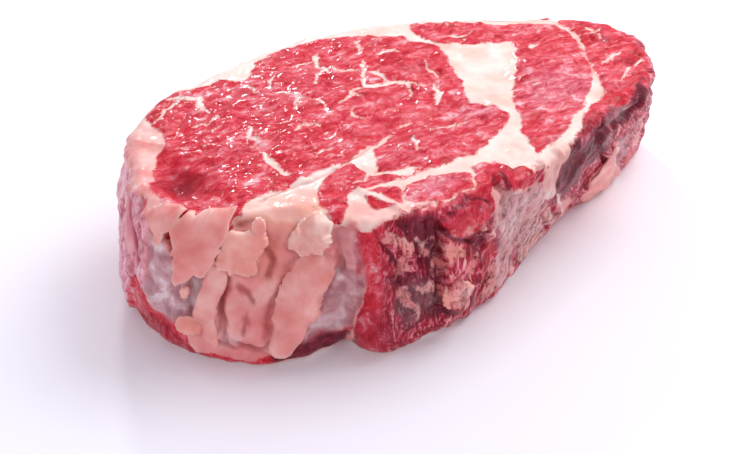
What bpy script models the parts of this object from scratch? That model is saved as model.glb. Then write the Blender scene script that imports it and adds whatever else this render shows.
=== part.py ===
"""Raw boneless ribeye steak, one thick slice, lying flat on its cut face.

Metres, +Z up. The steak's long way is X with the narrow tail at +X, its width is Y and it stands on
z = 0. The origin is under the middle of its bounding box.

The form is one loft. A rim outline and a foot outline are both given as reaches from the middle of the
steak at a set of bearings. The side wall runs between them, bulged and rounded at both edges. The top
closes inwards in shrinking copies of the rim over a soft relief, and the underside is one flat face.
"""
from math import cos, exp, hypot, pi, radians, sin, sqrt

import bmesh
import bpy

MM = 0.001

# Main sizes, mm.
THICKNESS = 50.0
TAIL_DROP = 2.0
TAIL_START = 45.0
TAIL_END = 98.0
RIM_RADIUS = 4.0
FOOT_RADIUS = 5.0

# Bearing round the steak in degrees from +X, then the reach of the rim and of the foot, mm.
STATIONS = [
    (0, 99, 105),
    (8, 97, 98),
    (15, 89, 88),
    (27, 76, 73),
    (42, 66, 64),
    (58, 62, 60),
    (76, 61, 59),
    (95, 62.5, 61),
    (112, 67, 65),
    (130, 73, 72),
    (146, 88, 87),
    (158, 96, 97),
    (170, 99, 103),
    (180, 102, 106),
    (188, 102, 105),
    (194, 95, 103),
    (200, 83, 99),
    (206, 76, 93),
    (212, 74, 85),
    (217, 74, 78),
    (222, 73.5, 77.5),
    (229, 71.5, 75),
    (240, 65, 65.5),
    (255, 58, 56),
    (270, 54, 50.5),
    (286, 54, 46),
    (302, 56, 45),
    (318, 62, 47.5),
    (329, 71, 53.5),
    (338, 82, 63.5),
    (346, 90, 78),
    (353, 95, 94),
]

# How far the wall stands out of the straight line from foot to rim, mm, by bearing in degrees.
BULGES = [
    (0, 3.0),
    (90, 3.0),
    (170, 4.0),
    (200, 3.0),
    (235, 2.5),
    (290, 1.0),
    (325, 2.5),
]

# Upright furrow where the fat cap meets the lean on the front: bearing, half width in degrees, depth.
FURROW_BEARING = 218.0
FURROW_HALF_WIDTH = 5.0
FURROW_DEPTH = 5.0

# Relief of the top: middle x, y, half widths in x and y, rise, all mm.
TOP_SWELLS = [
    (-35.0, 20.0, 30.0, 22.0, 1.6),
    (-89.0, -5.0, 6.0, 12.0, -6.0),
    (-10.0, -12.0, 34.0, 5.0, -1.2),
    (-5.0, -26.0, 30.0, 8.0, 1.2),
    (38.0, 5.0, 10.0, 14.0, -1.5),
    (52.0, -8.0, 14.0, 14.0, 1.4),
    (80.0, 0.0, 12.0, 10.0, 1.0),
]

# Mesh density.
COLUMNS = 96
WALL_RINGS = 11
ROUND_RINGS = 4
TOP_RINGS = 9
TOP_CORE = 0.14

LEAN_COLOUR = (0.42, 0.03, 0.05, 1.0)
LEAN_ROUGHNESS = 0.38


def turn_apart(a, b):
    """Signed angle from b to a in degrees, within half a turn."""
    return (a - b + 180.0) % 360.0 - 180.0


def round_curve(rows, column, bearing):
    """Value of one column at a bearing: a cubic through the rows with slopes taken from the neighbours."""
    count = len(rows)
    here = bearing % 360.0
    index = max(i for i in range(count) if rows[i][0] <= here)
    keys = []
    for step in (-1, 0, 1, 2):
        row = rows[(index + step) % count]
        keys.append((rows[index][0] + turn_apart(row[0], rows[index][0]), row[column]))
    (a0, v0), (a1, v1), (a2, v2), (a3, v3) = keys
    span = a2 - a1
    t = (here - a1) / span
    slope1 = (v2 - v0) / (a2 - a0) * span
    slope2 = (v3 - v1) / (a3 - a1) * span
    return (
        v1 * (2 * t ** 3 - 3 * t ** 2 + 1)
        + slope1 * (t ** 3 - 2 * t ** 2 + t)
        + v2 * (3 * t ** 2 - 2 * t ** 3)
        + slope2 * (t ** 3 - t ** 2)
    )


def even_bearings(count):
    """Bearings in degrees that cut the rim outline into pieces of equal length."""
    fine = 1440
    points = []
    for i in range(fine + 1):
        bearing = 360.0 * i / fine
        reach = round_curve(STATIONS, 1, bearing)
        points.append((reach * cos(radians(bearing)), reach * sin(radians(bearing))))
    lengths = [0.0]
    for (x0, y0), (x1, y1) in zip(points, points[1:]):
        lengths.append(lengths[-1] + hypot(x1 - x0, y1 - y0))
    bearings = []
    i = 0
    for k in range(count):
        target = lengths[-1] * k / count
        while lengths[i + 1] < target:
            i += 1
        part = (target - lengths[i]) / (lengths[i + 1] - lengths[i])
        bearings.append(360.0 * (i + part) / fine)
    return bearings


def top_height(x, y):
    """Height of the top face: the thickness, less the tail's fall, plus the swells."""
    along = min(max((x - TAIL_START) / (TAIL_END - TAIL_START), 0.0), 1.0)
    height = THICKNESS - TAIL_DROP * along * along * (3.0 - 2.0 * along)
    for cx, cy, wide, deep, rise in TOP_SWELLS:
        height += rise * exp(-((x - cx) / wide) ** 2 - ((y - cy) / deep) ** 2)
    return height


def wall_profile():
    """(height fraction, edge inset in mm) up the wall: foot rounding, wall, rim rounding."""
    rows = []
    for k in range(ROUND_RINGS + 1):
        turn = 0.5 * pi * k / ROUND_RINGS
        rows.append((FOOT_RADIUS * (1.0 - cos(turn)) / THICKNESS, FOOT_RADIUS * (1.0 - sin(turn))))
    low = FOOT_RADIUS / THICKNESS
    high = 1.0 - RIM_RADIUS / THICKNESS
    for k in range(1, WALL_RINGS):
        rows.append((low + (high - low) * k / WALL_RINGS, 0.0))
    for k in range(ROUND_RINGS + 1):
        turn = 0.5 * pi * k / ROUND_RINGS
        rows.append((high + (1.0 - high) * sin(turn), RIM_RADIUS * (1.0 - cos(turn))))
    return rows


def wall_point(bearing, fraction, inset):
    """Point on the wall: between foot and rim reach at this bearing, bulged, furrowed and inset."""
    rim = round_curve(STATIONS, 1, bearing)
    foot = round_curve(STATIONS, 2, bearing)
    blend = fraction * fraction * (3.0 - 2.0 * fraction)
    reach = foot + (rim - foot) * blend
    reach += round_curve(BULGES, 1, bearing) * sin(pi * fraction)
    off = turn_apart(bearing, FURROW_BEARING) / FURROW_HALF_WIDTH
    reach -= FURROW_DEPTH * exp(-off * off) * (1.0 - blend)
    reach -= inset
    x = reach * cos(radians(bearing))
    y = reach * sin(radians(bearing))
    return x, y, fraction * top_height(x, y)


def steak_rings():
    """Every closed ring of points from the underside's edge, up the wall and in over the top."""
    bearings = even_bearings(COLUMNS)
    rings = [[wall_point(b, fraction, inset) for b in bearings] for fraction, inset in wall_profile()]
    edge = rings[-1]
    for k in range(1, TOP_RINGS + 1):
        scale = 1.0 - (1.0 - TOP_CORE) * k / TOP_RINGS
        rings.append([(x * scale, y * scale, top_height(x * scale, y * scale)) for x, y, _ in edge])
    return rings


def lean_material():
    """Moist raw beef."""
    material = bpy.data.materials.new("raw_beef")
    material.use_nodes = True
    shader = material.node_tree.nodes["Principled BSDF"]
    shader.inputs["Base Color"].default_value = LEAN_COLOUR
    shader.inputs["Roughness"].default_value = LEAN_ROUGHNESS
    return material


def build_steak():
    """One closed body lofted through the rings, flat underneath."""
    rings = steak_rings()
    xs = [p[0] for ring in rings for p in ring]
    ys = [p[1] for ring in rings for p in ring]
    mid_x = 0.5 * (min(xs) + max(xs))
    mid_y = 0.5 * (min(ys) + max(ys))
    body = bmesh.new()
    placed = []
    for ring in rings:
        placed.append([body.verts.new(((x - mid_x) * MM, (y - mid_y) * MM, z * MM)) for x, y, z in ring])
    for lower, upper in zip(placed, placed[1:]):
        for k in range(COLUMNS):
            after = (k + 1) % COLUMNS
            body.faces.new((lower[k], lower[after], upper[after], upper[k]))
    body.faces.new(list(reversed(placed[0])))
    crown = body.verts.new((-mid_x * MM, -mid_y * MM, top_height(0.0, 0.0) * MM))
    for k in range(COLUMNS):
        body.faces.new((placed[-1][k], placed[-1][(k + 1) % COLUMNS], crown))
    bmesh.ops.recalc_face_normals(body, faces=body.faces)
    mesh = bpy.data.meshes.new("steak")
    body.to_mesh(mesh)
    body.free()
    mesh.materials.append(lean_material())
    steak = bpy.data.objects.new("steak", mesh)
    group = bpy.data.collections.new("raw_ribeye_steak")
    bpy.context.scene.collection.children.link(group)
    group.objects.link(steak)


for leftover in list(bpy.data.objects):
    bpy.data.objects.remove(leftover, do_unlink=True)
build_steak()
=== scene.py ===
"""Raw boneless ribeye steak: one thick slice lying on its lower cut face.

Lengths are worked in millimetres in the steak's own plan, long way along X with the tail at +X, and
become metres about the middle of the frame's box when a mesh is written.
"""

import bpy
import numpy as np
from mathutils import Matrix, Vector


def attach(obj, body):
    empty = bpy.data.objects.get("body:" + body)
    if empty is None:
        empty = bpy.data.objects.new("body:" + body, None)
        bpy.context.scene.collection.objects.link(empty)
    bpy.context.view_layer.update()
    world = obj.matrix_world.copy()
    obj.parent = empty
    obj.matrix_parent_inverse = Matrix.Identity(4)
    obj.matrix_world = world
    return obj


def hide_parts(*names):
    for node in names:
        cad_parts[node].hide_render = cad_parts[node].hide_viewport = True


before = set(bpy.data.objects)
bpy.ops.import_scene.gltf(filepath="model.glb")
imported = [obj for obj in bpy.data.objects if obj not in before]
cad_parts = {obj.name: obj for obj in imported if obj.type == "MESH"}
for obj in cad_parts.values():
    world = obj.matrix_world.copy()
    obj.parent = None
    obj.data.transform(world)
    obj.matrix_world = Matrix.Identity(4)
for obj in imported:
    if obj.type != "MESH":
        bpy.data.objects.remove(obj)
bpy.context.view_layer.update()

# ---- The slice of beef ------------------------------------------------------------------------------
# One slab cut straight across the rib: the eye, its cap muscle and the tail, held together by seams of
# hard cream fat. A knife makes the two flat faces. The wall is what the butcher trimmed by hand: torn
# fat and silverskin at the front left, dark outer muscle along the front right, a fat rind behind.

THICKNESS = 50.0
TAIL_DROP = 2.0
TAIL_FROM, TAIL_TO = 45.0, 98.0
RIM_RADIUS, FOOT_RADIUS = 4.0, 5.0

# bearing in degrees from +X, reach of the rim, reach of the foot
STATIONS = np.array([
    (0, 99, 105), (8, 97, 98), (15, 89, 88), (27, 76, 73), (42, 66, 64), (58, 62, 60), (76, 61, 59),
    (95, 62.5, 61), (112, 67, 65), (130, 73, 72), (146, 88, 87), (158, 96, 97), (170, 99, 103),
    (180, 102, 106), (188, 102, 105), (194, 95, 103), (200, 83, 99), (206, 76, 93), (212, 74, 85),
    (217, 74, 78), (222, 73.5, 77.5), (229, 71.5, 75), (240, 65, 65.5), (255, 58, 56), (270, 54, 50.5),
    (286, 54, 46), (302, 56, 45), (318, 62, 47.5), (329, 71, 53.5), (338, 82, 63.5), (346, 90, 78),
    (353, 95, 94)])
BULGES = np.array([(0, 3), (90, 3), (170, 4), (200, 3), (235, 2.5), (290, 1), (325, 2.5)], float)
FURROW_BEARING, FURROW_HALF_WIDTH, FURROW_DEPTH = 218.0, 5.0, 5.0
# middle x, y, half widths in x and y, rise
SWELLS = [(-35, 20, 30, 22, 1.6), (-88.5, 2, 6, 12, -4.5), (-10, -12, 34, 5, -1.2), (-5, -26, 30, 8, 1.2),
          (38, 5, 10, 14, -1.5), (52, -8, 14, 14, 1.4), (80, 0, 12, 10, 1.0)]

# grid steps across the top face, down the wall, and across the underside at half the fineness
ACROSS_X, ACROSS_Y = 248, 142
PLAN_X, PLAN_Y = 100.0, 60.0
RIM_STEPS, WALL_STEPS, FOOT_STEPS = 6, 51, 6


def blend(low, high, value):
    """Soft step: 0 below low, 1 above high, 3t² - 2t³ between."""
    t = np.clip((value - low) / (high - low), 0.0, 1.0)
    return t * t * (3.0 - 2.0 * t)


def round_curve(rows, column, bearing):
    """Closed cubic through the rows at their bearings, each slope taken from the two neighbours."""
    turned = np.asarray(bearing, float) % 360.0
    angles = np.concatenate([rows[-2:, 0] - 360.0, rows[:, 0], rows[:2, 0] + 360.0])
    values = np.concatenate([rows[-2:, column], rows[:, column], rows[:2, column]])
    i = np.searchsorted(angles, turned, side="right") - 1
    span = angles[i + 1] - angles[i]
    t = (turned - angles[i]) / span
    slope_in = (values[i + 1] - values[i - 1]) / (angles[i + 1] - angles[i - 1]) * span
    slope_out = (values[i + 2] - values[i]) / (angles[i + 2] - angles[i]) * span
    return (values[i] * (2 * t ** 3 - 3 * t ** 2 + 1) + slope_in * (t ** 3 - 2 * t ** 2 + t)
            + values[i + 1] * (3 * t ** 2 - 2 * t ** 3) + slope_out * (t ** 3 - t ** 2))


def top_height(x, y):
    """Upper face: the thickness, less the tail's fall, plus each swell as a rise times a bell."""
    height = THICKNESS - TAIL_DROP * blend(TAIL_FROM, TAIL_TO, x)
    for mid_x, mid_y, wide, deep, rise in SWELLS:
        height = height + rise * np.exp(-((x - mid_x) / wide) ** 2 - ((y - mid_y) / deep) ** 2)
    return height


def wall_reach(bearing, part):
    """Reach of the wall at a part of its height: foot to rim by a soft step, plus bulge, less furrow."""
    rise = blend(0.0, 1.0, part)
    foot = round_curve(STATIONS, 2, bearing)
    rim = round_curve(STATIONS, 1, bearing)
    off = ((bearing - FURROW_BEARING + 180.0) % 360.0 - 180.0) / FURROW_HALF_WIDTH
    return (foot + (rim - foot) * rise + round_curve(BULGES, 1, bearing) * np.sin(np.pi * part)
            - FURROW_DEPTH * np.exp(-off * off) * (1.0 - rise))


def square_to_round(u, v):
    """Square to disc, x = u√(1 - v²/2) and y = v√(1 - u²/2), then the disc's angle to a plan bearing."""
    x = u * np.sqrt(1.0 - v * v / 2.0)
    y = v * np.sqrt(1.0 - u * u / 2.0)
    bearing = np.degrees(np.arctan2(PLAN_Y * y, PLAN_X * x)) % 360.0
    return np.hypot(x, y), bearing


def grid_loop(nx, ny):
    """Indices round the edge of an (ny+1) by (nx+1) grid, anticlockwise from its low corner."""
    index = np.arange((nx + 1) * (ny + 1)).reshape(ny + 1, nx + 1)
    return np.concatenate([index[0, :-1], index[:-1, -1], index[-1, :0:-1], index[:0:-1, 0]])


def grid_faces(nx, ny, first):
    """Four-sided faces of a grid, anticlockwise seen from above."""
    index = first + np.arange((nx + 1) * (ny + 1)).reshape(ny + 1, nx + 1)
    return np.stack([index[:-1, :-1], index[:-1, 1:], index[1:, 1:], index[1:, :-1]], -1).reshape(-1, 4)


def polar(reach, bearing):
    """Plan x and y of a reach at a bearing."""
    return reach * np.cos(np.radians(bearing)), reach * np.sin(np.radians(bearing))


# distance round the rim at each tenth of a degree, so that the wall can be laid out flat
fine_bearing = np.linspace(0.0, 360.0, 3601)
fine_x, fine_y = polar(round_curve(STATIONS, 1, fine_bearing), fine_bearing)
rim_distance = np.concatenate([[0.0], np.cumsum(np.hypot(np.diff(fine_x), np.diff(fine_y)))])

# upper face
u, v = np.meshgrid(np.linspace(-1, 1, ACROSS_X + 1), np.linspace(-1, 1, ACROSS_Y + 1))
rho, bearing = square_to_round(u.ravel(), v.ravel())
top_x, top_y = polar(rho * (wall_reach(bearing, 1.0) - RIM_RADIUS), bearing)
top_points = np.stack([top_x, top_y, top_height(top_x, top_y)], 1)
top_loop = grid_loop(ACROSS_X, ACROSS_Y)
loop_bearing = bearing[top_loop]
around = len(top_loop)

# wall, from under the rim down to the edge of the underside
quarter = np.linspace(0.0, np.pi / 2, RIM_STEPS + 1)[1:]
parts = [1.0 - RIM_RADIUS / THICKNESS * (1.0 - np.cos(quarter))]
insets = [RIM_RADIUS * (1.0 - np.sin(quarter))]
parts.append(np.linspace(1.0 - RIM_RADIUS / THICKNESS, FOOT_RADIUS / THICKNESS, WALL_STEPS + 1)[1:])
insets.append(np.zeros(WALL_STEPS))
quarter = np.linspace(0.0, np.pi / 2, FOOT_STEPS + 1)[1:]
parts.append(FOOT_RADIUS / THICKNESS * (1.0 - np.sin(quarter)))
insets.append(FOOT_RADIUS * (1.0 - np.cos(quarter)))
part = np.concatenate(parts)[:, None]
inset = np.concatenate(insets)[:, None]
wall_x, wall_y = polar(wall_reach(loop_bearing[None], part) - inset, loop_bearing[None])
wall_z = part * top_height(wall_x, wall_y)
wall_points = np.stack([wall_x, wall_y, wall_z], -1).reshape(-1, 3)
wall_rows = len(part)

# underside
u, v = np.meshgrid(np.linspace(-1, 1, ACROSS_X // 2 + 1), np.linspace(-1, 1, ACROSS_Y // 2 + 1))
rho, bearing = square_to_round(u.ravel(), v.ravel())
UNDER_EDGE = 1.2
under_x, under_y = polar(rho * (wall_reach(bearing, 0.0) - FOOT_RADIUS - UNDER_EDGE), bearing)
under_points = np.stack([under_x, under_y, np.zeros(len(under_x))], 1)
under_loop = grid_loop(ACROSS_X // 2, ACROSS_Y // 2)

points = np.concatenate([top_points, wall_points, under_points])
first_wall = len(top_points)
first_under = first_wall + len(wall_points)
wall_bands = first_wall + np.arange(len(wall_points)).reshape(wall_rows, around)
bands = np.concatenate([top_loop[None], wall_bands])
after = np.roll(bands, -1, axis=1)
wall_faces = np.stack([bands[:-1], bands[1:], after[1:], after[:-1]], -1).reshape(-1, 4)
under_faces = grid_faces(ACROSS_X // 2, ACROSS_Y // 2, first_under)[:, ::-1]
outer = bands[-1]
inner = first_under + under_loop
stitch = np.concatenate([
    np.stack([outer[0::2], inner, outer[1::2]], 1),
    np.stack([outer[1::2], inner, np.roll(inner, -1)], 1),
    np.stack([outer[1::2], np.roll(inner, -1), np.roll(outer[0::2], -1)], 1)])
quads = np.concatenate([grid_faces(ACROSS_X, ACROSS_Y, 0), wall_faces, under_faces])

on_wall = np.zeros(len(points), bool)
on_wall[first_wall:first_under] = True
along = np.zeros(len(points))
along[on_wall] = np.tile(np.interp(loop_bearing, fine_bearing, rim_distance), wall_rows)
plan = points[:, :2].copy()
height = points[:, 2].copy()
laid = np.stack([along, height], 1)


def face_normals(where, four, three):
    """Point normals: the faces' cross products summed at their corners and made unit length."""
    total = np.zeros_like(where)
    for faces in (four, three):
        corner = where[faces]
        cross = np.cross(corner[:, 2] - corner[:, 0], corner[:, -1] - corner[:, 1])
        if faces.shape[1] == 3:
            cross = np.cross(corner[:, 1] - corner[:, 0], corner[:, 2] - corner[:, 0])
        for k in range(faces.shape[1]):
            np.add.at(total, faces[:, k], cross)
    return total / np.linalg.norm(total, axis=1)[:, None]


LATTICE = 32
dice = np.random.default_rng(52)
lattice = dice.uniform(-1.0, 1.0, (LATTICE, LATTICE, LATTICE))


def grain(where, size, shift=0.0):
    """Random field of about -1 to 1: a wrapped lattice of `size` mm cells blended by soft steps."""
    at = np.asarray(where) / size + shift
    if at.shape[1] == 2:
        at = np.concatenate([at, np.full((len(at), 1), 0.37 + shift)], 1)
    low = np.floor(at).astype(int)
    t = at - low
    t = t * t * (3.0 - 2.0 * t)
    total = np.zeros(len(at))
    for corner in range(8):
        step = np.array([corner & 1, corner >> 1 & 1, corner >> 2 & 1])
        weight = np.prod(np.where(step, t, 1.0 - t), axis=1)
        i, j, k = ((low + step) % LATTICE).T
        total += weight * lattice[i, j, k]
    return 1.6 * total


def layered(where, size, layers, shift=0.0):
    """Sum of grain fields, each half the size and half the strength of the one before."""
    total = np.zeros(len(where))
    for layer in range(layers):
        total += 0.5 ** layer * grain(where, size * 0.5 ** layer, shift + 7.3 * layer)
    return total


def smooth_outline(outline, cuts=4):
    """Closed outline through its points on a cubic whose slopes are half the chord of the neighbours."""
    p = np.asarray(outline, float)
    before, after_one, after_two = np.roll(p, 1, 0), np.roll(p, -1, 0), np.roll(p, -2, 0)
    rows = []
    for t in np.linspace(0.0, 1.0, cuts, endpoint=False):
        rows.append(0.5 * (2 * p + (after_one - before) * t
                           + (2 * before - 5 * p + 4 * after_one - after_two) * t ** 2
                           + (3 * p - before - 3 * after_one + after_two) * t ** 3))
    return np.stack(rows, 1).reshape(-1, 2)


def to_segment(where, start, end):
    """Distance from every point to one straight piece, and how far along it the nearest place is."""
    run = end - start
    t = np.clip((where - start) @ run / max(run @ run, 1e-9), 0.0, 1.0)
    return np.linalg.norm(where - start - t[:, None] * run, axis=1), t


def inside(where, outline, cuts=4):
    """Millimetres inside a closed outline, negative outside: nearest edge, signed by crossings."""
    p = smooth_outline(outline, cuts) if cuts > 1 else np.asarray(outline, float)
    nearest = np.full(len(where), 1e9)
    odd = np.zeros(len(where), bool)
    for start, end in zip(p, np.roll(p, -1, 0)):
        nearest = np.minimum(nearest, to_segment(where, start, end)[0])
        if start[1] != end[1]:
            spans = (start[1] > where[:, 1]) != (end[1] > where[:, 1])
            cross = start[0] + (where[:, 1] - start[1]) / (end[1] - start[1]) * (end[0] - start[0])
            odd ^= spans & (where[:, 0] < cross)
    return np.where(odd, nearest, -nearest)


def strand(where, width, *path):
    """Millimetres inside a strand of this width, its ends tapering to a third."""
    p = np.asarray(path, float)
    best = np.full(len(where), -1e9)
    last = len(p) - 1
    for k in range(last):
        gap, t = to_segment(where, p[k], p[k + 1])
        place = (k + t) / last
        half = 0.5 * width * (0.33 + 0.67 * np.sqrt(np.clip(np.sin(np.pi * place), 0.0, 1.0)))
        best = np.maximum(best, half - gap)
    return best


# Muscles as the knife leaves them, in plan. What no muscle covers is seam fat.
MUSCLES = {
    "eye": [(-80, 42), (-73, 48), (-60, 49), (-50, 49), (-46, 47), (-41, 44), (-38, 47), (-36, 50),
            (-30, 55), (-25, 57), (-10, 57.5), (0, 56), (7, 53), (13, 49.5), (20, 45), (23, 42), (25, 36),
            (28, 31), (29, 25), (27.5, 19), (25, 14), (22.7, 9), (21, 3), (17, -3.4), (14, -9),
            (4, -10.5),
            (-5, -10), (-10, -9.5), (-15, -10.4), (-26, -12.6), (-32.5, -15), (-41.4, -18.6),
            (-49, -19.2),
            (-60, -20.6), (-68, -21), (-75.5, -22), (-80, -24.4), (-86, -29), (-93, -28), (-98.4, -22),
            (-98.4, -8), (-97.6, 0), (-95, 7), (-92, 12), (-88, 17.5), (-84, 20), (-81, 26), (-80, 31),
            (-81, 36)],
    "under_eye": [(-9, -10.2), (0, -8), (8.4, -7), (14.6, -8.6), (19, -13), (20.4, -18.7), (20, -23.6),
                  (17.7, -27.6), (13.4, -31), (8, -33.5), (2, -35.8), (-5, -37.2), (-10, -37.4),
                  (-19.5, -36.5), (-29.6, -36), (-41, -35.7), (-47, -35), (-50, -36), (-54, -41),
                  (-57, -45),
                  (-60, -43), (-59, -36), (-57, -30), (-52, -25), (-46, -21.8), (-43, -20.8), (-40, -21),
                  (-38.3, -24.5), (-38.8, -30), (-36.4, -31.3), (-34.5, -29), (-31.5, -22.6),
                  (-27.5, -17.4), (-22, -14), (-15.6, -11.4)],
    "strip_left": [(-43.2, -37.2), (-34.5, -39.8), (-39.6, -47.9), (-46.4, -44)],
    "strip_middle": [(-32.4, -40.6), (-25, -39.6), (-16.4, -43), (-12.6, -46.4), (-16, -52.6),
                     (-24, -53), (-33, -50), (-35.6, -46)],
    "strip_right": [(-9.6, -43.4), (-5.4, -43.2), (-0.4, -45.4), (1.4, -49), (-2, -56), (-15, -61),
                    (-19, -58),
                    (-13.4, -52)],
    "strip_rim": [(-42, -56.5), (-35, -55.5), (-26, -54.8), (-18, -54.4), (-13, -56), (-12, -64),
                  (-30, -66),
                  (-45, -62)],
    "strip_corner": [(1.6, -50.4), (6.2, -51.2), (8, -56), (6, -62), (-8, -61), (-2, -54)],
    "cap": [(30, 48), (44, 42.5), (57, 34), (66, 28.5), (76, 23), (77.6, 17), (76.6, 11), (74.8, 4.9),
            (72, -1.5), (68.6, -8.2), (60.5, -18.6), (51.2, -28.5), (42.8, -34.6), (37.6, -37.1),
            (28.9, -42),
            (20.9, -46.1), (16, -47.6), (15.4, -44.5), (18.4, -35.6), (23.2, -28.7), (25.2, -21),
            (31, -13),
            (37.8, -4.6), (42, 0), (48.7, 6.8), (53.6, 16), (52.5, 20), (47, 21.5), (41.4, 24),
            (34.7, 28.6),
            (29.6, 33.2), (29, 40)],
    "tail": [(79.8, 23), (79.7, 18), (79, 9.4), (75.6, 3.4), (72.4, -2.8), (68.8, -9.6), (64.8, -15.6),
             (61.4, -23.6),
             (59.4, -28.6), (54.9, -32.4), (47, -34.6), (43.4, -36.8), (33, -44.5), (25.6, -50),
             (24, -58),
             (52, -54), (84, -40), (104, -22), (112, 0), (102, 18), (90, 26)],
}
# Veins of fat through the muscles: width, then the places they pass.
VEINS = [
    (2.2, (-70, 46), (-66, 45), (-60, 42), (-62, 40), (-64, 35), (-63, 31)),
    (1.4, (-80, 36), (-74, 40), (-66, 45)),
    (1.6, (-56, 16), (-58, 10), (-55, 6)),
    (2.4, (-59, 2), (-60, -8), (-59, -15)),
    (1.5, (-39, 16), (-32, 22), (-28, 18), (-30, 10)),
    (1.2, (-32, 22), (-35, 28), (-41, 31)),
    (2.2, (-11, 48), (-13, 43), (-15, 38), (-16, 32)),
    (1.6, (-14, 36), (-10, 31), (-6, 29)),
    (1.6, (-15, 36), (-20, 31), (-24, 29)),
    (1.4, (-13, 43), (-20, 45), (-26, 44)),
    (1.2, (8, 50), (5, 44), (3, 41)),
    (2.0, (1, 34), (-4, 28), (-8, 21), (-9, 18), (-2, 17), (4, 13), (10, 8)),
    (1.6, (-3, 27), (0, 21), (-1, 17)),
    (1.6, (-25, 11), (-20, 13), (-15, 17), (-14, 12)),
    (1.2, (-22, 8), (-23, 3), (-20, 0)),
    (2.2, (12, 6), (9, 0), (5, -5)),
    (1.3, (-15, 17), (-9, 18)),
    (1.2, (4, 13), (3, 7), (-2, 3)),
    (1.2, (-48, -11), (-44, -8), (-38, -8)),
    (1.4, (-46, 40), (-42, 36), (-43, 31)),
    (1.2, (-31, 42), (-36, 38), (-38, 34)),
    (1.3, (-72, 26), (-66, 24), (-61, 26)),
    (1.2, (16, 33), (12, 36), (8, 36)),
    (1.3, (20, 24), (17, 19), (18, 13)),
    (1.2, (-45, 4), (-40, 6), (-36, 3)),
    (1.4, (-15, -19), (-18, -27)),
    (1.3, (-8, -18), (-2, -21), (4, -22)),
    (1.2, (-45, -28), (-41, -31), (-36, -30)),
    (3.2, (-36, -30), (-30, -33), (-23, -35)),
    (2.6, (-39, -50), (-41, -44), (-46, -35), (-48, -42), (-52, -51)),
    (1.8, (56, 10), (59, 12), (62, 12)),
    (1.4, (34, 36), (41, 33), (48, 31)),
    (1.0, (79, 11), (85, 8), (90, 10)),
    (1.2, (70, -25), (79, -19), (88, -15)),
    (1.3, (72, -12), (80, -8), (86, -8)),
    (1.2, (84, 16), (86, 10), (85, 4)),
]


def cut_face_fat(where):
    """Millimetres inside fat on a cut face: outside every muscle or inside a vein, edges roughened."""
    ragged = where + 0.8 * np.stack([layered(where, 5.0, 3, 3.1), layered(where, 5.0, 3, 9.7)], 1)
    lean = np.full(len(where), -1e9)
    for outline in MUSCLES.values():
        lean = np.maximum(lean, inside(ragged, outline))
    veins = np.full(len(where), -1e9)
    for width, *path in VEINS:
        veins = np.maximum(veins, strand(ragged, width, *path))
    return np.maximum(-lean, veins)


# What the trimmed wall shows, laid out flat: millimetres round the rim, then height.
FAT_FROM, FAT_TO = 58.0, 331.0
WALL_LEAN = [
    [(256, 16), (259, 22), (262, 24), (264, 21), (268, 16.5), (273, 14.6), (279, 14), (282, 11),
     (283, 7), (285, 3), (285, -4), (225, -4), (228, 3), (236, 4), (250, 3), (253, 8), (255, 12)],
    [(286, 3), (296, 4.5), (306, 3.5), (313, 5), (313, -4), (286, -4)],
    [(313, -4), (312.5, 5), (316, 8), (321, 8.6), (326, 8.4), (330, 13), (333, 24), (336, 28), (336, -4)],
    [(273.8, 45), (275.6, 44), (275.2, 42), (273.6, 42.2)],
    [(259, 52), (258, 46), (259.5, 41), (262, 38), (263.5, 40), (262, 45), (263, 52)],
]
WALL_SCRAPS = [
    [(339.5, 44), (343, 42.5), (345.5, 39), (344, 36), (343.6, 32), (345, 30.4), (347, 30.8), (348, 33.2),
     (346.5, 36), (349.8, 40), (347.5, 41), (344.8, 44), (342, 46)],
    [(350, 41), (351.6, 38), (353.6, 34), (355.4, 32.3), (354.6, 35.5), (352.6, 39.4), (351, 42)],
    [(345, 25.5), (346.6, 26.4), (348.2, 24), (348.4, 20.8), (351.6, 16.6), (353, 11), (351.6, 11),
     (350, 15.6),
     (346, 20.4), (344.6, 23)],
    [(350, 24), (354, 26), (356.6, 23), (355.6, 21), (352, 21.6)],
    [(358.5, 38), (361, 37.4), (363.4, 35), (366, 31), (363.4, 31), (361, 33.4), (358.8, 33.2)],
    [(358.6, 22), (362, 23.6), (366, 22), (368.4, 19), (368.8, 15.8), (368.8, 11), (365, 12.6),
     (360.4, 13.6),
     (358.4, 16.6), (357.4, 19)],
    [(366, 28), (369, 29), (373, 27.6), (372.2, 23), (370, 20.6), (368, 22), (366.4, 24.6)],
    [(399, 52), (402, 46), (402, 38), (404, 33), (408, 30), (411, 34), (412, 41), (416, 46), (421, 49),
     (424, 52)],
    [(384, 47), (386.4, 44), (386, 41.6), (383.6, 41), (382.6, 44)],
    [(331, 52), (332.5, 48), (335, 47), (338, 48), (340, 52)],
    [(455.5, 19), (455, 25.8), (449, 33.5), (456, 31), (468, 19), (481, 9), (488, 1), (484, -2), (470, 1),
     (461, 5), (456, 12)],
    [(452, 6), (446, 12), (430, 18), (419, 27), (414, 30), (420, 24), (430, 12), (436, 3), (446, -2),
     (462, -2)],
    [(328, -1), (331, 10), (334.6, 25), (335.2, 30), (334, 30), (332.6, 24), (329.6, 11), (325.5, -1)],
]
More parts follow.
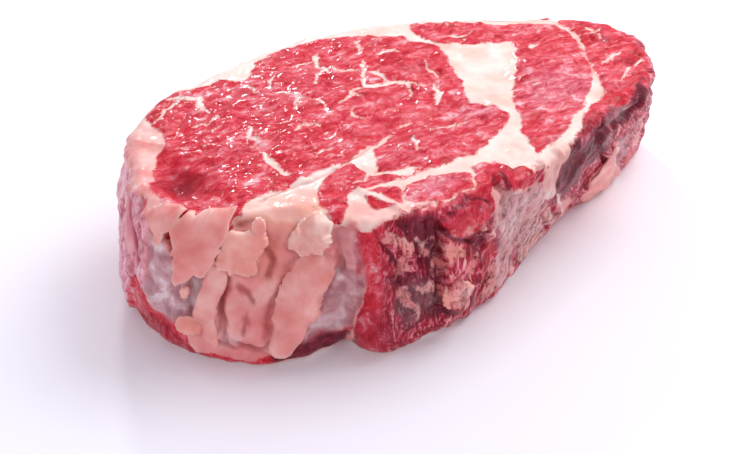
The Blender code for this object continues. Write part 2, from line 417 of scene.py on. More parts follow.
# how far above the edge of fat, outline: places where strands of membrane streak the meat
WALL_STREAKS = [
    (0.25, [(383, 47), (392, 43.5), (400, 41.5), (404, 34), (400, 24), (392, 14), (384, 5), (377, 4),
            (379, 14),
            (384, 24), (385, 34), (382, 41)]),
    (0.1, [(404, 30), (414, 25), (424, 14), (432, 2), (414, 0), (400, 8), (398, 20)]),
    (-0.35, [(343, 20), (350, 16), (358, 8), (352, 4), (345, 8)]),
    (-0.4, [(360, 40), (376, 36), (382, 20), (372, 4), (352, 2), (346, 20)]),
]
WALL_FILM = [
    (0.6, [(295.6, 11), (300, 13), (304, 13), (302, 9.6), (298, 8.6)]),
    (1.0, [(267, 40), (271, 40.6), (274, 37), (277, 31.4), (279.6, 29.4), (282.6, 28), (283, 20),
           (280, 15.4),
           (273, 14), (268, 17), (265.4, 22), (267, 28), (267, 34)]),
    (1.0, [(282, 28), (283.2, 31), (286, 32), (289, 30.5), (289.2, 25), (288.4, 19), (284, 17.6),
           (281.6, 21)]),
    (0.9, [(313.5, 8), (318, 12), (320.6, 19), (322, 27), (324, 31.5), (329, 33), (334, 30), (333, 24),
           (330, 14),
           (326, 8.6), (320, 8.4)]),
    (0.45, [(324, 31), (325.5, 38), (325, 46), (331, 46.5), (333, 40), (334.4, 31)]),
    (0.45, [(384, 46), (392, 42), (400, 41), (403, 34), (401, 24), (396, 12), (386, 6), (381, 12),
            (383, 22),
            (379, 36)]),
    (0.15, [(345, 24), (352, 27), (357, 22), (356, 14), (349, 13), (343, 16)]),
    (0.5, [(455, 30), (467, 28.5), (484, 15), (486, 9), (480, 9.6), (466, 21)]),
    (0.5, [(441, 48), (450, 49.6), (456, 44), (453, 40), (443, 43.6)]),
]
WALL_VIVID = [
    (0.5, [(336.5, 47), (335.6, 38), (336.2, 30), (334.8, 24), (332, 12), (329.5, 2), (340.5, 1),
           (340.4, 12),
           (339, 22), (340.2, 30), (338, 40)]),
    (1.0, [(357.6, 45), (362, 46), (368, 47.6), (374, 47), (377, 43), (375, 39), (370, 37.4), (366, 35.6),
           (362, 37), (358.6, 40)]),
    (1.0, [(370, 48), (376, 51), (384, 51), (385, 44), (382, 40.4), (377, 43)]),
    (1.0, [(386.6, 51), (396.5, 51), (398, 46), (395, 42.4), (389, 42.4), (386.4, 45)]),
    (0.7, [(374.5, 29), (379, 30), (382.4, 24), (382, 20), (377, 22)]),
    (0.35, [(260, 24), (262, 14), (258, 8), (270, 6), (284, 6), (282, 11), (278, 14), (268, 16.4),
            (265, 22)]),
    (1.0, [(484, 15), (489, 13), (494, 6), (500, 0), (491, 0), (487, 8)]),
]
# how dark, outline: darker patches on the wall, several low down by the foot; those laid over the hollows
# near 350, 372 and 430 to 470 round the rim are painted shade
WALL_DARK = [
    (0.4, [(332, 18), (329, -2), (342, -2), (344, 10), (341, 16), (337, 22)]),
    (0.45, [(225, -3), (228, 3), (236, 4), (250, 3), (257, 8), (262, 12), (272, 12), (281, 8),
            (285, -3)]),
    (1.0, [(312.6, 6), (318, 8.4), (326, 8), (330.4, 12), (333, 20), (335, 26), (331, 10), (328.4, -3),
           (312, -3)]),
    (0.9, [(349, 49.6), (355, 48), (357.8, 43), (357.4, 30), (357.2, 20), (354.6, 27), (352, 31),
           (349, 34),
           (347, 40), (345, 46)]),
    (0.9, [(341, 30), (345, 25), (344, 20), (347, 8), (356, 9), (372, 6), (372, 12), (362, 12), (357, 20),
           (352, 30), (346, 30)]),
    (0.9, [(370.4, 34), (373.6, 35.4), (377, 33.4), (376.4, 30.4), (372.6, 29), (370, 31)]),
    (0.75, [(343.6, 50), (349.4, 50), (349.6, 46), (345, 46.6)]),
    (0.9, [(417, 50.4), (440, 50.5), (470, 50.5), (468, 44), (448, 36), (430, 24), (414, 26), (411, 34),
            (413, 43)]),
    (0.75, [(404, 24), (412, 20), (430, 8), (420, 2), (400, 6), (398, 16)]),
    (0.9, [(430, 50.4), (440, 50.6), (437, 44), (442, 43), (458, 43), (466, 46), (470, 50), (462, 41),
           (446, 39),
           (433, 38), (428, 44)]),
]
# lift, softness of the edge, outline: flaps that stand off the wall and hollows cut into it
WALL_PLATES = [
    (0.9, 0.45, [(276, 49.6), (283, 50.6), (290, 49.8), (291.2, 45), (290, 40), (288.6, 35), (287, 33),
                 (284, 31.8), (280.4, 29.4), (278, 30.4), (278.2, 34), (276.4, 40), (275.8, 45)]),
    (0.8, 0.4, [(292, 45), (296, 45.3), (303, 45), (304, 42), (305.6, 40.4), (304.4, 38), (303.6, 35.4),
                (304.6, 31.4), (300, 31.6), (294, 33), (290, 36), (290.6, 41)]),
    (0.3, 0.4, [(298.6, 47.2), (300.4, 48), (303, 46.6), (303.4, 44), (300, 44)]),
    (1.4, 1.0, [(311.2, 41), (313, 44.6), (315, 47.4), (318, 49), (323.4, 48), (324.6, 43.5), (322, 39.6),
                (317.5, 36.6), (313.6, 38.4)]),
    (1.2, 1.2, [(316, 37.6), (320, 38.6), (324.6, 37), (326, 32), (323.4, 30), (322.4, 26), (320.6, 19),
                (318.4, 12), (315, 5.6), (311, 8), (312.4, 13), (311.8, 20), (312.2, 28), (313.8, 34.4)]),
    (1.6, 0.5, [(279.4, 14.6), (281, 17.6), (285, 18.2), (289.6, 17.4), (290, 13.6), (286, 12),
                (281, 11.6)]),
    (1.6, 0.9, [(280.4, 26), (281.4, 27.9), (283.2, 27.4), (283, 24.8), (281.4, 24.2)]),
    (0.4, 0.6, [(268, 49), (272, 49.8), (276, 49), (276.4, 47), (272, 45.6), (268.4, 46)]),
    (1.6, 0.6, [(262.5, 50.5), (266, 50), (267.4, 44), (265.6, 38.6), (263.4, 40)]),
    (-2.6, 0.7, [(282, 28), (283.2, 31), (286, 32), (288.6, 30.5), (288.8, 25), (288, 19.4), (284, 18.4),
                 (281.8, 21.6)]),
    (-2.2, 0.5, [(290.4, 52), (291.4, 47), (293, 45), (297, 45.6), (300, 46.8), (300.4, 52)]),
    (-2.6, 0.6, [(273.6, 45), (275.8, 44), (275.4, 41.8), (273.4, 42)]),
    (-1.6, 0.9, [(267, 41), (272, 41), (276, 35), (277.6, 30.4), (280, 29), (281, 20), (278, 15.4),
                 (269, 17.6),
                 (266.4, 24), (267, 34)]),
    (-1.8, 1.2, [(324, 31), (325.6, 38), (325, 47), (331, 47.5), (333, 40), (334.4, 31), (333, 24),
                 (330, 13),
                 (322, 8), (319, 12), (322, 24)]),
    (2.0, 0.7, [(358.6, 40), (362, 38), (367, 35), (372, 30), (374, 22), (371, 14), (366, 10), (359, 12),
                (358.2, 20), (358.4, 30)]),
    (1.2, 0.4, [(358.8, 21.6), (363, 22.6), (368, 19.4), (368.6, 16), (364, 17.2), (359, 18)]),
    (1.2, 0.5, [(359.4, 16.8), (364, 15.4), (368.6, 11.6), (366, 11), (360, 13.4)]),
    (-1.6, 0.8, [(370.4, 34), (373.6, 35.6), (377, 33.4), (376.4, 30), (372.6, 28.6), (370, 31)]),
    (-1.8, 0.8, [(350, 47), (356, 46), (358, 42), (357.8, 30), (357.6, 20), (355, 26), (352, 32),
                 (349, 40)]),
    (1.8, 1.0, [(357.6, 45), (362, 46.6), (368, 48), (374, 47), (377, 43), (375, 39), (370, 37),
                (364, 37)]),
    (1.5, 0.8, [(386.4, 51), (396.6, 51), (398, 46), (395, 42.4), (389, 42.4), (386.2, 45)]),
    (0.8, 1.0, [(455.5, 19), (455, 26), (450, 33), (456, 31), (468, 19), (481, 9), (488, 1), (484, -2),
                (470, 1),
                (461, 5), (456, 12)]),
    (-2.0, 1.0, [(430, 49), (438, 49.4), (437, 45), (443, 44), (458, 44), (464, 46), (460, 41.4),
                 (446, 40),
                 (434, 41)]),
    (1.6, 0.6, [(244, 3), (252, 4.4), (260, 25), (262, 32), (257, 28), (248, 16)]),
]
# lift (or depth), width, path: rolled edges, furrows and knife slits
WALL_FOLDS = [
    (-1.8, 2.4, (289.6, 34.4), (293, 32.6), (295.6, 29.8), (295.8, 27), (295, 24), (295.4, 20),
     (297, 14)),
    (-1.4, 1.4, (299.6, 28.4), (303.2, 26), (306, 22.8)),
    (-1.7, 1.8, (293.6, 24.4), (295.6, 20.8), (298, 17.4), (299.4, 13), (299.6, 9.6)),
    (1.1, 4.0, (297, 25), (299, 22), (301.2, 18), (302.6, 13), (303, 9)),
    (-0.8, 1.4, (304.6, 20), (305.4, 17), (305, 14)),
    (-1.4, 1.3, (302.6, 11.6), (305, 9), (308.2, 8), (311, 8.8), (312.8, 11.6)),
    (0.9, 5.0, (307, 22), (308.5, 16), (308, 12)),
    (1.3, 6.0, (303.6, 13.6), (306, 11.6), (309, 11.4), (311.4, 13)),
    (-1.8, 2.0, (305.6, 38.6), (308, 35), (308.4, 30)),
    (1.0, 3.0, (309.6, 44), (310.6, 36), (310, 28)),
    (-2.4, 0.9, (274.6, 42), (276.2, 38), (277.6, 33.4)),
    (-1.6, 3.0, (256, 51), (258.6, 45), (261.6, 38), (263.6, 33)),
    (-1.2, 1.6, (296, 11), (301, 8.6), (306, 9.6), (310, 7)),
    (-2.4, 1.6, (358, 46), (358, 38), (358.2, 30), (358.2, 24), (357, 19)),
    (-1.2, 1.2, (341, 31), (346, 31.6), (350, 30)),
    (-1.2, 1.4, (336, 47), (341, 41), (344, 34), (346, 28)),
    (1.2, 1.6, (341, 44), (347, 38), (350, 32)),
    (1.0, 1.4, (345, 26), (349, 18), (352, 12)),
    (-1.6, 1.8, (312.6, 30), (310.6, 20), (310.8, 12)),
    (-2.0, 1.8, (325, 40), (326.4, 33), (323.6, 28), (321.4, 19), (318, 11)),
    (1.2, 1.6, (369.6, 32), (371, 35.6), (374.4, 36.8), (378, 34), (383, 27), (383, 20), (381.6, 13),
     (377, 10)),
    (-1.2, 1.2, (368.6, 36), (369.4, 30), (372, 26)),
    (-1.6, 2.6, (380.6, 50.6), (384, 45), (383, 41)),
    (1.2, 2.4, (440, 36), (450, 30), (462, 22), (476, 12), (484, 4)),
    (-1.4, 2.0, (436, 36), (446, 30), (456, 24), (468, 14), (478, 6)),
    (1.2, 3.0, (412, 30), (424, 18), (440, 8), (452, 2)),
    (-1.2, 2.0, (408, 24), (420, 12), (434, 4)),
    (1.2, 3.0, (470, 44), (480, 36), (492, 24), (500, 14)),
    (-1.2, 2.0, (474, 40), (484, 30), (494, 18)),
    (-1.0, 2.0, (238, 46), (240, 34), (236, 20), (232, 8)),
    (1.0, 2.4, (246, 47), (249, 36), (247, 24), (240, 8)),
]
# furrows between the meat's bundles on the upper face: depth, width, path
TOP_FURROWS = [
    (-0.9, 1.3, (-24, -13.6), (-34, -17), (-43, -20.4), (-54, -22.4), (-66, -21.8), (-74, -23)),
    (-1.0, 1.6, (-14, 6), (-4, 5), (6, 9)),
    (-1.0, 1.6, (-52, 22), (-44, 20), (-36, 22)),
    (-1.0, 1.8, (-70, 4), (-62, 2), (-52, 4)),
    (-0.9, 1.6, (-62, -6), (-50, -5), (-42, -2)),
    (-0.9, 1.6, (-30, 36), (-20, 38), (-14, 40)),
    (-1.3, 2.0, (3, 30), (7, 28), (12, 28)),
    (-1.6, 2.2, (8, 22), (12, 20), (17, 21)),
    (-1.4, 2.0, (10, 14), (15, 12), (20, 14)),
    (-0.9, 1.6, (14, 33), (19, 31), (23, 33)),
    (-1.0, 2.0, (-70, 34), (-74, 30), (-80, 28)),
    (-0.8, 1.4, (-30, 2), (-20, 1), (-10, 3)),
    (-0.9, 1.8, (-98, -18), (-90, -20), (-78, -19)),
    (-0.9, 1.4, (36, -12), (44, -16), (50, -22)),
    (-0.9, 1.2, (40, -26), (46, -24), (54, -20)),
    (-1.6, 2.2, (81, 6), (84, 2), (83, -3)),
    (-1.5, 2.0, (80, -17), (84, -14), (88, -13)),
    (-1.2, 1.8, (60, -32), (68, -28), (76, -27)),
    (1.5, 3.0, (-97, -10), (-97, -16), (-94, -20)),
    (1.0, 3.0, (-91, 30), (-87, 24), (-84, 21)),
    (0.8, 2.4, (-46, -35), (-42, -44), (-40, -50)),
    (0.8, 3.0, (45, -35), (60, -32), (72, -30)),
]


def raise_by(depth, softness, distance):
    """Height of a flap or hollow: its depth times a soft step over the edge's softness."""
    return depth * blend(-softness, softness, distance)


wall = laid[on_wall]
torn = wall + 0.5 * np.stack([layered(points[on_wall], 4.0, 3, 1.3),
                              layered(points[on_wall], 4.0, 3, 5.1)], 1)
ragged_rim = 1.6 * layered(points, 4.0, 2, 7.7)
strip_side = np.zeros(len(points))
strip_side[on_wall] = blend(334, 338, wall[:, 0]) * blend(388, 384, wall[:, 0])
near_rim = blend(46.2, 48.7, height + ragged_rim * (1.0 - 0.6 * strip_side) - 2.2 * strip_side)
near_rim[~on_wall] = 0.0
near_rim[:first_wall] = 1.0
near_foot = 1.0 - blend(0.3, 2.6, height)
near_foot[:first_wall] = 0.0
cut_share = np.maximum(near_rim, near_foot)

cut = cut_share > 0.0
fat = np.zeros(len(points))
fat[cut] = cut_face_fat(plan[cut])
# the strip along the front rim is streaked with meat
STREAKED = [(-36, -54, 18, 6, 1.0), (-14, -60, 14, 6, 0.9), (14, -54, 12, 6, 0.9), (34, -42, 10, 5, 0.5)]

far_end = FAT_FROM + 16.0 * layered(points[on_wall], 16.0, 3, 14.2)
windows = 2.4 * (0.85 - layered(points[on_wall] * (1.0, 1.0, 1.6), 11.0, 3, 15.5))
wall_fat = np.minimum(torn[:, 0] - far_end, FAT_TO - torn[:, 0])
wall_fat = np.where(wall[:, 0] < 225.0, np.minimum(wall_fat, windows), wall_fat)
wall_fat = np.clip(wall_fat, -3.0, 3.0)
for outline in WALL_LEAN:
    wall_fat = np.minimum(wall_fat, -inside(torn, outline))
for outline in WALL_SCRAPS:
    wall_fat = np.maximum(wall_fat, inside(torn, outline))
for most, outline in WALL_STREAKS:
    wall_fat = np.maximum(wall_fat, np.minimum(inside(torn, outline), most))
scraps = wall_fat > 0.0
wall_fat = np.where(scraps & (wall[:, 0] > 341) & (wall[:, 0] < 380), np.minimum(wall_fat, 0.3), wall_fat)
wisps = layered(points[on_wall] * (1.0, 1.0, 0.6), 6.0, 4, 2.2)
ribside = blend(336, 342, wall[:, 0]) * (1.0 - blend(500, 506, wall[:, 0]))
wall_fat = np.maximum(wall_fat, 1.6 * (wisps - 1.05) * ribside + 3.0 * (ribside - 1.0))
fat[on_wall] = fat[on_wall] * cut_share[on_wall] + wall_fat * (1.0 - cut_share[on_wall])


def mask_of(zones, softness):
    """Strongest of the zones at each wall point: a zone's strength by a soft step over its edge."""
    strongest = np.zeros(len(wall))
    for strength, outline in zones:
        strongest = np.maximum(strongest, strength * blend(-softness, softness, inside(torn, outline)))
    return strongest


film = np.zeros(len(points))
film[on_wall] = mask_of(WALL_FILM, 1.2)
vivid = np.zeros(len(points))
vivid[on_wall] = mask_of(WALL_VIVID, 1.2)
dark = np.zeros(len(points))
dark[on_wall] = mask_of(WALL_DARK, 1.6)
fade = 1.0 - cut_share[on_wall]
film[on_wall] *= fade
dark[on_wall] *= fade

# hazy lean on the upper face, partly drier meat and partly a painted sheen, and brighter or deeper places
HAZE_AND_SHEEN = [(46, -18, 18, 13, 1.0), (40, 2, 8, 16, 0.5), (14, -17, 7, 8, 0.8), (-24, -46, 12, 4, 0.9),
        (-4, -24, 14, 6, 0.25), (-66, 6, 10, 6, 0.35), (-78, 0, 6, 5, 0.35), (60, 24, 14, 5, 0.25),
        (-30, 30, 26, 14, 0.2), (-26, -28, 14, 6, 0.35)]
DEEP = [(-89, 0, 7, 10, 0.62), (12, 21, 7, 6, 0.3), (84, 2, 5, 5, 0.45), (83, -15, 4, 4, 0.5),
        (66, -28, 8, 4, 0.3), (-4, -51, 8, 4, 0.35), (46, -46, 22, 6, 0.9), (-84, -28, 12, 4, 0.3)]
BRIGHT = [(-75, 24, 8, 6, 1.0), (-80, 10, 12, 12, 0.5), (84, 10, 14, 8, 0.8), (86, -8, 12, 14, 0.7),
          (64, -33, 22, 3.4, 1.1), (13, 26, 18, 12, 0.7), (-20, 52, 40, 5, 0.5), (56, 30, 20, 6, 0.6),
          (-88, 2, 9, 14, 1.0), (-78, -20, 16, 6, 0.6), (-3, -52, 14, 6, 0.9), (90, 12, 10, 10, 0.8)]


def bells(where, places):
    """Strongest of several bells, each its strength times exp(-(dx/w)² - (dy/d)²)."""
    strongest = np.zeros(len(where))
    for mid_x, mid_y, wide, deep, strength in places:
        off = ((where[:, 0] - mid_x) / wide) ** 2 + ((where[:, 1] - mid_y) / deep) ** 2
        strongest = np.maximum(strongest, strength * np.exp(-off))
    return strongest


upper = near_rim > 0.0
fat[upper] = np.minimum(fat[upper], 2.0 - 2.1 * bells(plan[upper], STREAKED))
haze_and_sheen = np.zeros(len(points))
haze_and_sheen[upper] = bells(plan[upper], HAZE_AND_SHEEN) * near_rim[upper]
dark[upper] = np.maximum(dark[upper], bells(plan[upper], DEEP) * near_rim[upper])
vivid[upper] = np.maximum(vivid[upper], bells(plan[upper], BRIGHT) * near_rim[upper])

# relief along the normal; the meat's bundles are drawn out along the slant of the cut
TURN = np.array([[0.94, -0.34, 0.0], [0.34, 0.94, 0.0], [0.0, 0.0, 1.0]])
lift = 0.35 * layered(points, 9.0, 2, 4.4) + 0.22 * grain(points, 2.6, 8.8)
lift[first_under:] = 0.0
lean_part = 1.0 - blend(-0.4, 0.4, fat)
bundles = layered(points * (0.5, 1.0, 0.6) @ TURN, 2.6, 2, 6.6)
lift += 0.34 * lean_part * bundles * (height > 1.0) * np.where(on_wall, 0.35, 1.0)
seam = np.where(upper, near_rim, 0.0)
lift -= 0.35 * seam * (1.0 - lean_part)
for depth, width, *path in TOP_FURROWS:
    distance = strand(plan[upper] + 0.5 * grain(points[upper], 3.0, 2.5)[:, None], width, *path)
    lift[upper] += depth * blend(-0.8 * width, 0.5 * width, distance) * near_rim[upper]


def shear_of(spot):
    """How far the wall's strands have slid round the rim by this height, at the rib and at the tail."""
    slope = 0.5 * blend(350, 385, spot[:, 0]) - 1.7 * blend(404, 440, spot[:, 0])
    return slope * (spot[:, 1] - 0.5 * THICKNESS)


# painted shade: a darker brown-red laid along the long furrow of the upper face, round the edges of the
# wall's flaps and hollows, and in its slits
crease_shade = np.zeros(len(points))
crease_shade[upper] = 0.6 * blend(-0.5, 0.4, strand(plan[upper], 1.0, *TOP_FURROWS[0][2:])) * near_rim[upper]
wall_lift = np.zeros(len(wall))
wall_crease_shade = np.zeros(len(wall))
for depth, softness, outline in WALL_PLATES:
    distance = inside(torn, outline)
    wall_lift += raise_by(depth, softness, distance)
    off = distance + 0.5 if depth > 0.0 else distance - 0.5
    wall_crease_shade = np.maximum(wall_crease_shade, np.exp(-(off / 0.7) ** 2) * min(1.0, abs(depth) / 2.0))
for depth, width, *path in WALL_FOLDS:
    distance = strand(torn, width, *path)
    wall_lift += depth * blend(-0.4 * width, 0.35 * width, distance)
    # the slits and furrows cut into the wall take painted shade as well
    if depth < 0.0:
        wall_crease_shade = np.maximum(wall_crease_shade, 0.8 * blend(-0.6, 0.4, distance))
wall_lift += 0.6 * layered(points[on_wall], 7.0, 3, 11.3) * blend(0.0, 8.0, wall[:, 1])
lengthways = np.stack([wall[:, 0] - shear_of(wall), 0.25 * wall[:, 1], 0.0 * wall[:, 0]], 1)
wall_lift += blend(430, 376, wall[:, 0]) * 0.7 * ribside * layered(lengthways, 5.0, 3, 3.9)
lift[on_wall] += wall_lift * (1.0 - cut_share[on_wall])
crease_shade[on_wall] = wall_crease_shade * (1.0 - cut_share[on_wall])

normal = face_normals(points, quads, stitch)
moved = points + lift[:, None] * normal
moved[:, 2] = np.where(points[:, 2] <= 0.0, 0.0, np.maximum(moved[:, 2], 0.05))

# fat shows pinker down the wall than on the cut, a pink partly its own and partly painted shade, and
# lilac round at the left
pink_and_shade = np.zeros(len(points))
pink_and_shade[on_wall] = fade * (0.45 + 0.55 * blend(190, 235, wall[:, 0])
                         + blend(276, 262, wall[:, 0]) * blend(206, 232, wall[:, 0]))
PINK_RIM = [(-90, 26, 14, 16, 0.9), (-72, -32, 22, 7, 0.6), (-97, 0, 6, 30, 1.2), (-47, -46, 8, 6, 0.7),
            (-20, -53, 40, 4, 0.55), (20, -14, 5, 6, 0.3), (66, -14, 9, 22, 0.6), (80, 14, 6, 14, 0.4)]
pink_and_shade[upper] = np.maximum(pink_and_shade[upper], bells(plan[upper], PINK_RIM) * near_rim[upper])
side = np.zeros(len(points))
side[on_wall] = fade * ribside * (1.0 - 0.65 * vivid[on_wall])
# on the dried side the painted shade of the creases also darkens the meat
dark[on_wall] = np.maximum(dark[on_wall], crease_shade[on_wall] * ribside)
pink_and_shade[on_wall] *= 1.0 - 0.5 * blend(376, 386, wall[:, 0]) * blend(436, 424, wall[:, 0])
sheared = np.zeros((len(points), 3), np.float32)
sheared[on_wall, 0] = wall[:, 0] - shear_of(wall)
sheared[on_wall, 1] = wall[:, 1]
warm_and_shade = np.zeros(len(points))
# orange in the fat: a tint of its own at thin edges and tips, and painted shade in the hollow round 306,
# 36 and the groove round 293, 28
WARM_AND_SHADE = [(301, 47, 7, 3, 0.9), (285, 47, 6, 4, 0.35), (306, 36, 4, 5, 0.6), (293, 28, 2.5, 5, 0.5),
        (281.8, 26, 2, 2, 0.4), (316, 42, 3, 3, 0.6), (320, 44, 5, 4, 0.4), (310, 46, 8, 3, 0.7),
        (324, 32, 3, 2.4, 0.7), (298, 38, 8, 5, 0.3), (364, 33, 4, 4, 0.8), (286, 15, 4, 2.5, 0.5)]
warm_and_shade[on_wall] = bells(wall, WARM_AND_SHADE)
TOP_WARM = [(-62, -35, 7, 4, 0.9), (-70, -27, 8, 4, 0.4), (25, -13, 4, 9, 0.35), (40, -6, 6, 4, 0.3)]
warm_and_shade[upper] = np.maximum(warm_and_shade[upper], bells(plan[upper], TOP_WARM) * near_rim[upper])

MM = 0.001
middle = 0.5 * (points[:, :2].min(axis=0) + points[:, :2].max(axis=0))
place = (moved - np.array([middle[0], middle[1], 0.0])) * MM


def write_mesh(name, where, *face_sets):
    """One mesh object from points in metres and arrays of faces of any corner count, smooth shaded."""
    mesh = bpy.data.meshes.new(name)
    counts = np.concatenate([np.full(len(faces), faces.shape[1]) for faces in face_sets])
    corners = np.concatenate([faces.ravel() for faces in face_sets])
    mesh.vertices.add(len(where))
    mesh.vertices.foreach_set("co", where.ravel())
    mesh.loops.add(len(corners))
    mesh.loops.foreach_set("vertex_index", corners.astype(np.int32))
    mesh.polygons.add(len(counts))
    mesh.polygons.foreach_set("loop_start", np.concatenate([[0],
                                                            np.cumsum(counts)[:-1]]).astype(np.int32))
    mesh.update(calc_edges=True)
    mesh.validate()
    mesh.polygons.foreach_set("use_smooth", np.ones(len(counts), bool))
    piece = bpy.data.objects.new(name, mesh)
    bpy.context.scene.collection.objects.link(piece)
    return piece


slab = write_mesh("steak_slab", place, quads, stitch)
FIELDS = {"fat": fat, "film": film, "vivid": vivid, "dark": dark, "haze_and_sheen": haze_and_sheen, "pink_and_shade": pink_and_shade,
          "warm_and_shade": warm_and_shade,
          "crease_shade": crease_shade, "side": side}
slab.data.attributes.new("laid", "FLOAT_VECTOR", "POINT").data.foreach_set("vector", sheared.ravel())
for title, values in FIELDS.items():
    layer = slab.data.attributes.new(title, "FLOAT", "POINT")
    layer.data.foreach_set("value", np.clip(values, -4.0, 4.0).astype(np.float32))


def linear(code):
    """sRGB hex colour as linear red, green, blue and 1."""
    parts = [int(code[k:k + 2], 16) / 255.0 for k in (1, 3, 5)]
    return [p / 12.92 if p <= 0.04045 else ((p + 0.055) / 1.055) ** 2.4 for p in parts] + [1.0]


def add(kind, settings, out=0):
    """One shader node. Each setting is a property, or a socket's value, hex colour or source socket."""
    node = tree.nodes.new(kind)
    for key, value in settings.items():
        if key == "stops":
            for number, (position, code) in enumerate(value):
                spare = node.color_ramp.elements
                stop = spare[number] if number < 2 else spare.new(position)
                stop.position, stop.color = position, linear(code)
        elif isinstance(key, str) and key in node.bl_rna.properties:
            setattr(node, key, value)
        elif isinstance(value, bpy.types.NodeSocket):
            tree.links.new(value, node.inputs[key])
        else:
            node.inputs[key].default_value = linear(value) if isinstance(value, str) else value
    return node.outputs[out]


# Raw beef, cut and wet: lean red meat with pale connective lines and flecks of fat, hard cream fat, and
# bluish silverskin. The film of juice on it gives small sharp glints over a soft, slightly cloudy body.
beef = bpy.data.materials.new("raw_beef_wet_cut")
beef.use_nodes = True
tree = beef.node_tree
shader = tree.nodes["Principled BSDF"]
NOISE, SPAN = "ShaderNodeTexNoise", "ShaderNodeMapRange"
MATH, STOPS = "ShaderNodeMath", "ShaderNodeValToRGB"
MIX, FIELD, VECTOR = "ShaderNodeMix", "ShaderNodeAttribute", "ShaderNodeVectorMath"
fat_in, film_in, vivid_in, dark_in, haze_and_sheen_in, pink_and_shade_in, warm_and_shade_in, crease_shade_in, side_in = (
    add(FIELD, {"attribute_name": title}, "Fac") for title in FIELDS)
laid_in = add(FIELD, {"attribute_name": "laid"}, "Vector")
mm = add(VECTOR, {"operation": "SCALE", "Scale": 1000.0, 0: add("ShaderNodeTexCoord", {}, "Object")})

# bundles of fibre are 1.5 to 3 mm across, cut at a slant, so their sections are drawn out
slant = add("ShaderNodeMapping", {"Rotation": (0.0, 0.0, 0.35), "Scale": (0.5, 1.0, 0.6), "Vector": mm})
wander = add(NOISE, {"Scale": 0.25, "Detail": 2.0, "Vector": mm}, "Color")
bent = add(VECTOR, {"operation": "MULTIPLY_ADD", 0: wander, 1: (3.0, 3.0, 3.0), 2: slant})
fibre = add(NOISE, {"Scale": 0.58, "Detail": 5.0, "Roughness": 0.68, "Vector": bent})
bundle = add(NOISE, {"Scale": 0.22, "Detail": 3.0, "Roughness": 0.6, "Vector": bent})
mottle = add(NOISE, {"Scale": 0.13, "Detail": 4.0, "Roughness": 0.6, "Vector": mm})
speck = add(NOISE, {"Scale": 0.5, "Detail": 4.0, "Roughness": 0.72, "Distortion": 0.6, "Vector": bent})
grain_dots = add(NOISE, {"Scale": 1.6, "Detail": 3.0, "Roughness": 0.6, "Vector": bent})
drawn = add("ShaderNodeMapping", {"Scale": (0.5, 0.2, 1.0), "Vector": laid_in})
strands = add(NOISE, {"Scale": 1.0, "Detail": 5.0, "Roughness": 0.66, "Distortion": 1.3, "Vector": drawn})
both = add(MATH, {"operation": "MULTIPLY_ADD", 0: bundle, 1: 0.8,
                  2: add(MATH, {"operation": "MULTIPLY", 0: fibre,
                                                                             1: 0.9})})
meat = add(MATH, {"operation": "MULTIPLY_ADD", 0: mottle, 1: 0.45, 2: both})
meat = add(SPAN, {"From Min": 0.78, "From Max": 1.36, "Value": meat})

lean = add(STOPS, {"stops": [(0.0, "#AA001A"), (1.0, "#FAB4B8"), (0.28, "#D0102A"), (0.48, "#E03044"),
                             (0.64, "#E94E5C"), (0.84, "#F07C84")], "Fac": meat})
# the hazy tone comes in where the meat's noise runs high and where haze is laid: partly drier lean,
# partly a painted sheen on the upper face
hazy_sheen = add(STOPS, {"stops": [(0.0, "#B8183A"), (1.0, "#FCD4DA"), (0.35, "#DA4A66"), (0.65, "#EE828E")],
                   "Fac": meat})
lean = add(MIX, {"data_type": "RGBA", 0: add(SPAN,
                                             {"From Min": 0.5, "From Max": 1.3, "To Max": 0.9,
                                              "Value": add(
    MATH, {"operation": "ADD", 0: haze_and_sheen_in, 1: meat})}), 6: lean, 7: hazy_sheen}, 2)
red = add(STOPS, {"stops": [(0.0, "#A0001C"), (1.0, "#F27A88"), (0.4, "#D00626"), (0.7, "#E8203C")],
                  "Fac": meat})
lean = add(MIX, {"data_type": "RGBA", 0: add(SPAN,
                                             {"From Min": 0.45, "From Max": 1.05, "To Max": 0.9,
                                              "Value": add(
    MATH, {"operation": "ADD", 0: vivid_in, 1: add(MATH,
                                                   {"operation": "MULTIPLY", 0: mottle, 1: 0.45})})}),
    6: lean, 7: red}, 2)
# the dried side: purplish, with pale strands of membrane drawn across it
dried = add(STOPS, {"stops": [(0.34, "#6A0016"), (0.70, "#FCD4D4"), (0.44, "#A00C28"), (0.5, "#C42840"),
                              (0.55, "#D85068"), (0.61, "#EE8C98")], "Fac": strands})
lean = add(MIX, {"data_type": "RGBA", 0: side_in, 6: lean, 7: dried}, 2)
deep = add(STOPS, {"stops": [(0.25, "#440012"), (0.75, "#A83850"), (0.5, "#780E28")], "Fac": add(
    MATH, {"operation": "MULTIPLY_ADD", 0: strands, 1: 0.5,
           2: add(MATH, {"operation": "MULTIPLY", 0: meat, 1: 0.5})})})
lean = add(MIX, {"data_type": "RGBA", 0: add(SPAN, {"From Min": 0.35, "From Max": 1.1, "Value": add(
    MATH, {"operation": "ADD", 0: dark_in, 1: add(MATH, {"operation": "MULTIPLY", 0: mottle, 1: 0.4})})}),
    6: lean, 7: deep}, 2)

# fat: cream on the fresh cut, pink and smoother down the wall, the pink partly painted shade
cloud = add(NOISE, {"Scale": 0.1, "Detail": 3.0, "Vector": mm})
cream = add(STOPS, {"stops": [(0.32, "#F1C6B8"), (0.68, "#F9E8DE"), (0.5, "#F6D8CC")], "Fac": cloud})
rosy = add(STOPS, {"stops": [(0.32, "#E5807E"), (0.70, "#FAC0B8"), (0.5, "#F09C96")], "Fac": cloud})
lilac = add(STOPS, {"stops": [(0.34, "#C06478"), (0.66, "#FAD4D6"), (0.48, "#E898A6")], "Fac": strands})
fat_tone = cream
